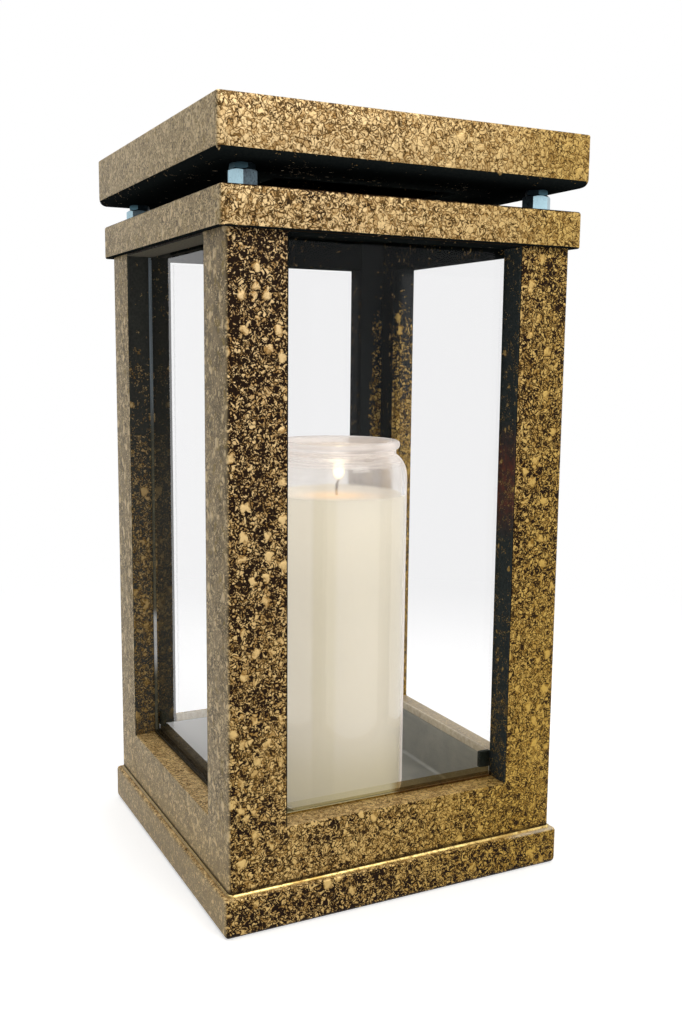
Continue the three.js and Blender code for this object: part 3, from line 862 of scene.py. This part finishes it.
# The top rails carry painted shade along their foot, under the collar's skirt
top_rail_coat = speckle(
    "speckle_top_rail", outer=0.38, reveal=0.0, top=0.3, under=-0.08, seed=23.0, blobs=0.3,
    shade_level=lintel_mm, shade=1.0,
)
POST_COVERS = {"front_left": 0.34, "front_right": 0.38, "back_right": 0.4, "back_left": 0.4}
post_coats = {
    name: speckle(
        f"speckle_post_{name}", outer=cover, reveal=0.06, top=0.2, under=0.05, seed=23.0, blobs=0.45,
        foot=0.18, shade_level=seam_mm,
    )
    for name, cover in POST_COVERS.items()
}
MATT = {"top": 0.7, "seed": 61.0, "gloss": 0.0}
inner_coat = speckle(
    "speckle_inside", outer=-0.04, reveal=0.0, under=-0.08, blobs=0.1, size=1.4, foot=0.08, dim=0.6,
    ground=INNER_BLACK_AND_SHEEN, **MATT,
)
# Painted candle light: the coat inside the far corner gets more gold in an upright band, growing downwards,
# where the candle lights it
painted_candlelight_coat = speckle(
    "speckle_painted_candlelight", outer=-0.25, reveal=-0.25, under=0.0, blobs=0.4, size=2.3,
    foot=1.0, foot_levels=(190, 385), foot_band=(68, 74), ground=CORNER_SLATE, **MATT,
)
left_coat = speckle(
    "speckle_left_reveal", outer=-0.06, reveal=-0.06, under=0.0, blobs=0.2, size=1.5,
    foot=0.47, foot_levels=(150, 330), foot_band=(-74, -80), dim=0.5, ground=GLAZED_BLACK, **MATT,
)
right_coat = speckle(
    "speckle_right_reveal", outer=0.05, reveal=0.05, top=0.7, under=0.0, seed=29.0, blobs=0.0, size=0.9,
    foot=0.05, gloss=0.0, dim=0.35, ember=wick_tip_mm + 5, ground=JAMB_SLATE,
)
lintel_coat = speckle(
    "speckle_left_lintel", outer=0.0, reveal=0.0, under=-0.15, blobs=0.1, size=1.4, dim=0.6,
    ground=LINTEL_GREY, **MATT,
)
seam_coat = seam_paint()

# The other materials
PAN_DARK = (0.34, 0.345, 0.32)
PAN_LIGHT = (0.47, 0.465, 0.42)
# A painted reflection of the bright sky on the pan's far wall
PAN_FAR_WALL_REFLECTION = (0.84, 0.86, 0.93)
PLATED_BRUSH = (1.0, 1.0, 0.5)
# The dark seal colours hold painted shade as well as the strips' own brown; the pale tan holds painted candle
# light on top of its own pale colour
SEAL_BROWN_AND_SHADE = ((0.020, 0.012, 0.004), (0.050, 0.032, 0.012))
SEAL_UMBER_AND_SHADE = ((0.010, 0.009, 0.005), (0.040, 0.030, 0.014))
SEAL_TAN_AND_CANDLELIGHT = ((0.72, 0.62, 0.46), (0.90, 0.82, 0.68))
# The black of the dark blocks of painted shade
SHADE_BLOCK_BLACK = ((0.010, 0.013, 0.009), (0.030, 0.034, 0.026))
DARK_TINT = (0.30, 0.27, 0.20)
pan_steel = steel(
    "pan_bare_steel", PAN_DARK, PAN_LIGHT, 0.4, brush=(0.08, 0.02, 0.3), scratch=0.1, painted_far_wall=PAN_FAR_WALL_REFLECTION,
)
zinc_blue = steel(
    "zinc_plate", (0.018, 0.015, 0.022), (0.44, 0.64, 0.73), 0.2, PLATED_BRUSH, 0.4, painted_facets=True,
)
zinc_shaded = steel(
    "zinc_in_shade", (0.012, 0.016, 0.020), (0.08, 0.16, 0.20), 0.25, PLATED_BRUSH, 0.4, painted_facets=True,
)
tin = steel("tin_plate", (0.45, 0.45, 0.45), (0.62, 0.61, 0.60), 0.25)
float_glass = pane_glass("float_glass", 1.22)
float_glass_left = pane_glass("float_glass_left", 1.55)
float_glass_right = pane_glass("float_glass_right", 1.12)
glass_jar = jar_glass()
wax_cream = wax_material()
wick_char = wick_material()
flame_light = flame_material()
silicone = silicone_material("silicone_clear", (0.20, 0.15, 0.08), 0.1)
silicone_front = silicone_material(
    "silicone_front", (0.030, 0.016, 0.004), 0.2, (0.84, 0.74, 0.59), part_clear=(0.84, 0.80, 0.66),
)
silicone_left = silicone_material("silicone_left", (0.010, 0.008, 0.005), 0.9, pale_jamb=True)
seal_front = seal_material(
    "seal_front", SEAL_BROWN_AND_SHADE, (0.86, 0.76, 0.56), 0.06, part_clear=(0.975, 0.965, 0.90),
)
seal_left = seal_material("seal_left", SEAL_UMBER_AND_SHADE, DARK_TINT, 0.9)
seal_far = seal_material("seal_far", SEAL_TAN_AND_CANDLELIGHT, WHITE, 1.0)
shade_block_material = seal_material("setting_block_rubber", SHADE_BLOCK_BLACK, DARK_TINT, 1.0)

# Painted sheet-metal pieces
FORWARDS = Vector((0, -1, 0))
LEFTWARDS = Vector((-1, 0, 0))
DOWNWARDS = Vector((0, 0, -1))
CORNERS = {"front_left": 0, "front_right": math.pi / 2, "back_right": math.pi, "back_left": -math.pi / 2}
SIDES = {"front": 0, "right": math.pi / 2, "back": math.pi, "left": -math.pi / 2}
JAMB_COATS = {
    "back_right": (painted_candlelight_coat, FORWARDS),
    "back_left": (left_coat, FORWARDS),
    "front_right": (right_coat, LEFTWARDS),
}
PAINT_SLOT = "speckled_paint"
# A face that lies this far in from a piece's outside is an inner one
INNER_DEPTH = 5 * MM


def dress(piece, body, slot, *nodes):
    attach(piece, body)
    if nodes:
        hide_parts(*nodes)


def coat_inside(piece, outer_half, lit_coat=None, look=FORWARDS):
    """Gives the matt inner coat to every face that looks neither outwards nor up; lit_coat is the coat
    of those of them that look one way."""
    piece.data.materials.append(inner_coat)
    piece.data.materials.append(lit_coat or inner_coat)
    edge = outer_half - INNER_DEPTH
    for face in piece.data.polygons:
        flat = Vector((face.normal.x, face.normal.y, 0))
        outward = flat.length > 0.5 and face.normal.z > -0.8 and face.center.dot(flat) > edge
        upward = face.normal.z > 0.3 and max(abs(face.center.x), abs(face.center.y)) > edge - frame_depth
        if not (outward or upward):
            face.material_index = 2 if face.normal.dot(look) > 0.5 else 1


def make_roof():
    piece = folded_tray(
        "roof_tray", roof_low, roof_high, roof_coat,
        foot_round=4.6 * MM, top_round=1.0 * MM, corner=1.8 * MM, flange=ROOF_FLANGE, mouth_corner=4 * MM,
    )
    coat_inside(piece, roof_high.x)
    dress(piece, "lid", PAINT_SLOT, "roof")


def make_collar():
    half = collar_high.x
    low = collar_low.z
    high = collar_high.z
    top_round = 1.6 * MM
    foot_round = 1.0 * MM
    corner = 2.0 * MM
    rings = [(half - SHEET, LEAST_BEND, low)]
    rings += edge_round(half - foot_round, corner - foot_round, low + foot_round, foot_round, -90, 0)
    rings += edge_round(half - top_round, corner - top_round, high - top_round, top_round, 0, 90)
    rings += [(VENT_HALF, VENT_CORNER, high), (VENT_HALF, VENT_CORNER, high - SHEET)]
    rings += edge_round(half - SHEET - LEAST_BEND, 0, high - SHEET - LEAST_BEND, LEAST_BEND, 90, 0)
    piece = loft("collar_tray", rings, collar_coat, closed=True)
    coat_inside(piece, collar_high.x)
    dress(piece, "lid", PAINT_SLOT, "collar")


def make_plinth():
    piece = folded_tray(
        "plinth_tray", plinth_low, plinth_high, plinth_coat,
        foot_round=3.2 * MM, top_round=2.0 * MM, corner=2.2 * MM, flange=PLINTH_FLANGE, mouth_corner=7 * MM,
    )
    dress(piece, "body", PAINT_SLOT, "plinth")


def make_seam():
    """The bead of paint where the body stands on the plinth."""
    level = plinth_high.z
    reach = 1.1 * MM
    corner = 2.0 * MM
    rings = [(body_half - reach, corner, level - LEAST_CORNER), (body_half + reach, corner + reach, level)]
    rings += edge_round(body_half, corner, level, reach, 20, 75)
    dress(loft("seam_bead", rings, seam_coat, closed=True), "body", PAINT_SLOT)


def post_section(inset, lip, z):
    """The outline of the front left post, or of its hollow; its bend grows tighter with the inset."""
    far = body_half - inset
    near = body_half - frame_depth + inset
    end = body_half - post_face + inset
    points = [(-far, -far), (-end, -far), (-end, -near), (-near, -near), (-near, -end), (-far, -end)]
    radii = [POST_BEND - inset * 0.7, lip, LEAST_BEND, LEAST_BEND, LEAST_BEND, lip]
    return [(x, y, z) for x, y in rounded_outline(points, radii)]


def make_post(name, turn):
    """Its edges along the window are rounded, and sharp above and below, where it meets the rails."""
    foot = post_low.z
    top = post_high.z
    fade = 0.5 * MM
    levels = [
        (foot, LEAST_CORNER), (sill_level - fade, LEAST_CORNER), (sill_level + fade, WINDOW_LIP),
        (lintel_level - fade, WINDOW_LIP), (lintel_level + fade, LEAST_CORNER), (top, LEAST_CORNER),
    ]
    sections = [post_section(0, lip, z) for z, lip in levels]
    sections += [post_section(POST_SHEET, LEAST_BEND, z) for z in (top, foot)]
    piece = add_stack(f"corner_post_{name}", sections, post_coats[name], turn, closed=True)
    coat_inside(piece, body_half, *JAMB_COATS.get(name, ()))
    dress(piece, "body", PAINT_SLOT, f"post_{name}")


def make_rail(kind, name, turn, low, high):
    """kind is bottom or top; the edge that faces the window opening is rounded."""
    far = -body_half
    near = far + frame_depth
    points = [(far, low), (near, low), (near, high), (far, high)]
    sharp = LEAST_CORNER
    if kind == "bottom":
        radii = [sharp, sharp, LEAST_BEND, WINDOW_LIP]
        coat = rail_coat
    else:
        radii = [WINDOW_LIP, LEAST_BEND, sharp, sharp]
        coat = top_rail_coat
    outline = rounded_outline(points, radii)
    sections = [[(x, y, z) for y, z in outline] for x in (-window_half, window_half)]
    piece = add_stack(f"rail_{kind}_{name}", sections, coat, turn)
    coat_inside(piece, body_half, lintel_coat if (kind, name) == ("top", "left") else None, DOWNWARDS)
    dress(piece, "body", PAINT_SLOT, f"{kind}_rail_{name}")


# Strips and blocks behind the panes, and the floor pan
SEAL_HEIGHT = 4.5 * MM
SEAL_GAP = 0.1 * MM
SEAL_STEPS = 4
SEALS = {
    "front": (2.0 * MM, seal_front),
    "left": (5.0 * MM, seal_left),
    "right": (1.6 * MM, seal_far),
    "back": (1.6 * MM, seal_far),
}


def make_seal(name, depth, material):
    """A strip behind a pane's foot; it stands on the rim of the pan."""
    far = -(body_half - frame_depth) + SEAL_GAP
    low = sill_level + SEAL_GAP
    points = [(far, low), (far + depth, low), (far + depth, low + SEAL_HEIGHT), (far, low + SEAL_HEIGHT)]
    outline = rounded_outline(points, [LEAST_BEND, LEAST_BEND, WINDOW_LIP, LEAST_BEND], SEAL_STEPS)
    half = window_half - SEAL_GAP
    sections = [[(x, y, z) for y, z in outline] for x in (-half, half)]
    dress(add_stack(f"seal_{name}", sections, material, SIDES[name]), "body", "silicone")


def make_shade_block(name, end):
    """A dark block at a pane's foot by its jamb, put there as painted shade; end is 1 at the side's own right
    and -1 at its left.
    """
    depth = 2.0 * MM
    near = -(body_half - frame_depth) + SEAL_GAP
    inner = window_half - 6.2 * MM
    outer = window_half + 0.8 * MM
    low = sill_level + SEAL_HEIGHT + 2 * SEAL_GAP
    high = sill_level + 13.5 * MM
    points = [(inner, low), (outer, low), (outer, high), (inner, high)]
    outline = rounded_outline(points, [LEAST_BEND, LEAST_BEND, LEAST_BEND, WINDOW_LIP], SEAL_STEPS)
    depths = (near + depth, near) if end > 0 else (near, near + depth)
    sections = [[(x * end, y, z) for x, z in outline] for y in depths]
    dress(add_stack(f"setting_block_{name}", sections, shade_block_material, SIDES[name]), "body", "silicone")


def make_pan():
    half = pan_high.x
    low = pan_low.z
    high = pan_high.z
    corner = 3 * MM
    foot = 2 * MM
    edge = 0.4 * MM
    inner = half - PAN_SHEET
    inner_corner = corner - PAN_SHEET
    inner_low = low + PAN_SHEET
    rings = edge_round(half - foot, corner - foot, low + foot, foot, -90, 0)
    rings += edge_round(half - edge, corner - edge, high - edge, edge, 0, 90)
    rings += edge_round(inner + edge, inner_corner + edge, high - edge, edge, 90, 180)
    rings += [(inner, inner_corner, inner_low + foot)]
    rings += edge_round(inner - foot, inner_corner - foot, inner_low + foot, foot, 0, -90)[1:]
    dress(loft("pan_tray", rings, pan_steel), "body", "bare_steel", "floor_pan")


# Candle
TURNED_SIDES = 128
JAR_WALL = 2.8 * MM
JAR_BASE = 5 * MM
JAR_FOOT_ROUND = 12 * MM
JAR_PUNT = 1.2 * MM
SHOULDER_HEIGHT = 13.5 * MM
# How far up the shoulder's curve leaves the wall, and how far in and down it meets the neck
SHOULDER_RISE = 0.62
SHOULDER_PULL = 0.4
SHOULDER_DROP = 0.12
NECK_RADIUS = 33.1 * MM
NECK_HEIGHT = 3.4 * MM
RIM_RADIUS = 35.1 * MM
RIM_HEIGHT = 4.2 * MM
RIM_ROUND = 1.9 * MM
MOUTH_RADIUS = 30.8 * MM
# How far the wax reaches into the glass, so that no air shows between them
WAX_BITE = 0.06 * MM
# How deep the pool of molten wax lies below the wax's edge, and how far it climbs the glass
POOL_DISH = 1.6 * MM
MENISCUS = 1.2 * MM
MENISCUS_LIP = 0.4 * MM


def shoulder(foot_radius, top_radius, foot, top):
    return bezier(
        (foot_radius, foot),
        (foot_radius, foot + (top - foot) * SHOULDER_RISE),
        (top_radius + (foot_radius - top_radius) * SHOULDER_PULL, top - (top - foot) * SHOULDER_DROP),
        (top_radius, top),
    )


def jar_profile():
    height = jar_high.z - jar_low.z
    top = height - RIM_HEIGHT - NECK_HEIGHT
    foot = top - SHOULDER_HEIGHT
    rim_foot = top + NECK_HEIGHT
    inner = jar_radius - JAR_WALL
    inner_round = JAR_FOOT_ROUND - JAR_WALL
    rim_start = (NECK_RADIUS, top + NECK_HEIGHT * 0.6)
    rim_pull = (RIM_RADIUS, top + NECK_HEIGHT * 0.8)
    profile = [(0, JAR_PUNT), (jar_radius - JAR_FOOT_ROUND - JAR_PUNT, JAR_PUNT)]
    profile += arc(jar_radius - JAR_FOOT_ROUND, JAR_FOOT_ROUND, JAR_FOOT_ROUND, -90, 0)
    profile += shoulder(jar_radius, NECK_RADIUS, foot, top)
    profile += bezier(rim_start, (NECK_RADIUS, rim_foot), rim_pull, (RIM_RADIUS, rim_foot + RIM_ROUND), 6)
    profile += arc(RIM_RADIUS - RIM_ROUND, height - RIM_ROUND, RIM_ROUND, 0, 90, 6)
    profile += arc(MOUTH_RADIUS + RIM_ROUND, height - RIM_ROUND, RIM_ROUND, 90, 180, 6)
    profile += list(reversed(shoulder(inner, MOUTH_RADIUS, foot, top)))
    profile += arc(inner - inner_round, JAR_BASE + inner_round, inner_round, 0, -90)
    profile += [(0, JAR_BASE)]
    return profile


def make_jar():
    piece = turned("jar_glass_body", jar_profile(), TURNED_SIDES, glass_jar, (jar_x, jar_y, jar_low.z))
    dress(piece, "candle", "jar_glass", "candle_jar")


def make_wax():
    height = wax_high.z - wax_low.z
    radius = jar_radius - JAR_WALL + WAX_BITE
    foot = JAR_FOOT_ROUND - JAR_WALL
    pool = height - POOL_DISH
    edge = (radius - MENISCUS_LIP, height)
    profile = [(0, 0)] + arc(radius - foot, foot, foot, -90, 0)
    profile += [(radius, height * share) for share in (0.25, 0.5, 0.75, 0.95, 1.0)]
    profile += bezier(
        edge, (radius - MENISCUS, height - POOL_DISH * 0.7), (radius * 0.9, pool), (radius * 0.72, pool), 10,
    )
    profile += [(radius * share, pool) for share in (0.4, 0.12, 0)]
    piece = turned("wax_fill", profile, TURNED_SIDES, wax_cream, (jar_x, jar_y, wax_low.z))
    dress(piece, "candle", "wax", "wax")


def make_wick():
    """A braided cord that stands straight in the wax and curls over at its charred tip."""
    radius = 0.8 * MM
    sides = 12
    tip = wick_high.z
    pool = wax_high.z - POOL_DISH
    lean = 2.2 * MM
    steps = 14
    path = [(0, wick_low.z)]
    for i in range(steps + 1):
        t = i / steps
        path.append((lean * t ** 3, pool + (tip - pool) * math.sin(t * math.pi / 2)))
    sections = []
    for k, (shift, level) in enumerate(path):
        share = max(0.0, (k - 1) / steps)
        size = radius * (1 - 0.35 * share ** 4)
        section = []
        for i in range(sides):
            turn = 2 * math.pi * i / sides
            ripple = 1 + 0.10 * math.cos(3 * turn + k * 1.3)
            section.append((
                jar_x + shift + size * ripple * math.cos(turn),
                jar_y + size * ripple * math.sin(turn),
                level + 0.3 * size * math.cos(turn) * share,
            ))
        sections.append(section)
    dress(add_stack("wick_cord", sections, wick_char), "candle", "wick", "wick")


def make_flame():
    """A drop of light, widest low down, over the wick's curled tip."""
    height = 12.5 * MM
    width = 3.5 * MM
    lean = 1.2 * MM
    foot = wick_high.z - 0.7 * MM
    steps = 24
    profile = [(0, 0)]
    for i in range(1, steps):
        t = i / steps
        profile.append((width * math.sin(math.pi * t ** 0.72) ** 0.85 * (1 - 0.15 * t), height * t))
    profile.append((0, height))
    dress(turned("flame", profile, 32, flame_light, (jar_x + lean, jar_y, foot)), "candle", "flame")


make_roof()
make_collar()
make_plinth()
make_seam()
for post_name, post_turn in CORNERS.items():
    make_post(post_name, post_turn)
for side_name, side_turn in SIDES.items():
    make_rail("bottom", side_name, side_turn, sill_low.z, sill_high.z)
    make_rail("top", side_name, side_turn, lintel_low.z, lintel_high.z)
for side_name, (seal_depth, seal_finish) in SEALS.items():
    make_seal(side_name, seal_depth, seal_finish)
# Painted shade: dark blocks at the foot of two panes, by their jambs
make_shade_block("front", 1)
make_shade_block("left", -1)
make_pan()
make_jar()
make_wax()
make_wick()
make_flame()


# Solids that keep their shape and get a finish
def give_finish(node, material):
    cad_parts[node].data.materials[0] = material


for side_name in SIDES:
    pane_finish = {"left": float_glass_left, "right": float_glass_right}.get(side_name, float_glass)
    give_finish(f"pane_{side_name}", pane_finish)
    bead_finish = {"front": silicone_front, "left": silicone_left}.get(side_name, silicone)
    give_finish(f"glazing_bead_{side_name}", bead_finish)
for corner_name in CORNERS:
    give_finish(f"spacer_{corner_name}", zinc_blue)
    for prefix in ("stud", "thin_nut", "roof_nut"):
        give_finish(f"{prefix}_{corner_name}", zinc_shaded)
give_finish("wick_sustainer", tin)

# Floor, world and lamps. The floor keeps the shadow up to the near distance, in metres from the
# middle, and is as white as the background from the far one
FLOOR_HALF = 4.0
FLOOR_NEAR = 0.22
FLOOR_FAR = 0.75
FLOOR_LIFT = 0.5
WORLD_LEVEL = 0.42
LAMP_TARGET = (0, 0, 0.3)


def background_seen(g):
    """1 for what the camera sees straight, in a gloss or through glass, and 0 for light on the object."""
    path = g.node("ShaderNodeLightPath").outputs
    return g.most(path["Is Camera Ray"], path["Is Glossy Ray"], path["Is Transmission Ray"])


def floor_material():
    g = new_graph("floor_white")
    place = g.node("ShaderNodeTexCoord").outputs["Object"]
    seen = background_seen(g)
    tint = g.mix(g.noise(place, 6.0), (0.78, 0.78, 0.78), (0.80, 0.80, 0.80))
    diffuse = g.node("ShaderNodeBsdfDiffuse", Color=tint).outputs[0]
    lift = g.node("ShaderNodeEmission", Color=WHITE, Strength=g.times(seen, FLOOR_LIFT)).outputs[0]
    white = g.node("ShaderNodeEmission", Color=WHITE).outputs[0]
    away = g.times(g.step(g.length(place), FLOOR_NEAR, FLOOR_FAR), seen)
    return g.surface(g.mix_shader(away, g.join("ShaderNodeAddShader", diffuse, lift), white))


def make_floor():
    verts = [(x * FLOOR_HALF, y * FLOOR_HALF, 0) for x, y in ((-1, -1), (1, -1), (1, 1), (-1, 1))]
    add_mesh("floor", verts, [(0, 1, 2, 3)], floor_material(), smooth=False)


def make_world():
    world = bpy.data.worlds.new("studio")
    bpy.context.scene.world = world
    g = Graph(world)
    strength = g.times_plus(background_seen(g), 1.0 - WORLD_LEVEL, WORLD_LEVEL)
    sky = g.node("ShaderNodeBackground", Color=WHITE, Strength=strength).outputs[0]
    g.node("ShaderNodeOutputWorld", Surface=sky)


def add_lamp(name, place, size, energy, colour):
    data = bpy.data.lights.new(name, "AREA")
    data.shape = "SQUARE"
    data.size = size
    data.energy = energy
    data.color = colour
    lamp = bpy.data.objects.new(name, data)
    lamp.location = place
    lamp.rotation_euler = (Vector(LAMP_TARGET) - Vector(place)).to_track_quat("-Z", "Y").to_euler()
    bpy.context.scene.collection.objects.link(lamp)


make_floor()
make_world()
add_lamp("key", place=(0.35, -1.1, 1.15), size=0.7, energy=11.5, colour=(1.0, 0.96, 0.90))
add_lamp("top", place=(-0.3, 0.3, 1.7), size=1.4, energy=12, colour=WHITE)

# Camera, fitted to the lantern's corners in the photograph
CAMERA_PLACE = Vector((-267.31, -554.73, 276.08)) * MM
AZIMUTH = math.radians(-26.63)
ELEVATION = math.radians(8.07)
ROLL = 0.0094
FOCAL_PIXELS = 1092.44
IMAGE_HEIGHT = 1024
SENSOR = 36.0


def make_camera():
    data = bpy.data.cameras.new("camera")
    data.sensor_fit = "AUTO"
    data.sensor_width = SENSOR
    data.lens = FOCAL_PIXELS * SENSOR / IMAGE_HEIGHT
    data.clip_start = 0.01
    data.clip_end = 50
    back = Vector((
        math.sin(AZIMUTH) * math.cos(ELEVATION),
        -math.cos(AZIMUTH) * math.cos(ELEVATION),
        math.sin(ELEVATION),
    ))
    right = Vector((math.cos(AZIMUTH), math.sin(AZIMUTH), 0))
    up = back.cross(right)
    rolled_right = right * math.cos(ROLL) + up * math.sin(ROLL)
    rolled_up = up * math.cos(ROLL) - right * math.sin(ROLL)
    camera = bpy.data.objects.new("camera", data)
    axes = Matrix((rolled_right, rolled_up, back)).transposed().to_4x4()
    camera.matrix_world = Matrix.Translation(CAMERA_PLACE) @ axes
    bpy.context.scene.collection.objects.link(camera)
    bpy.context.scene.camera = camera


make_camera()
bpy.context.scene.view_settings.view_transform = "Standard"
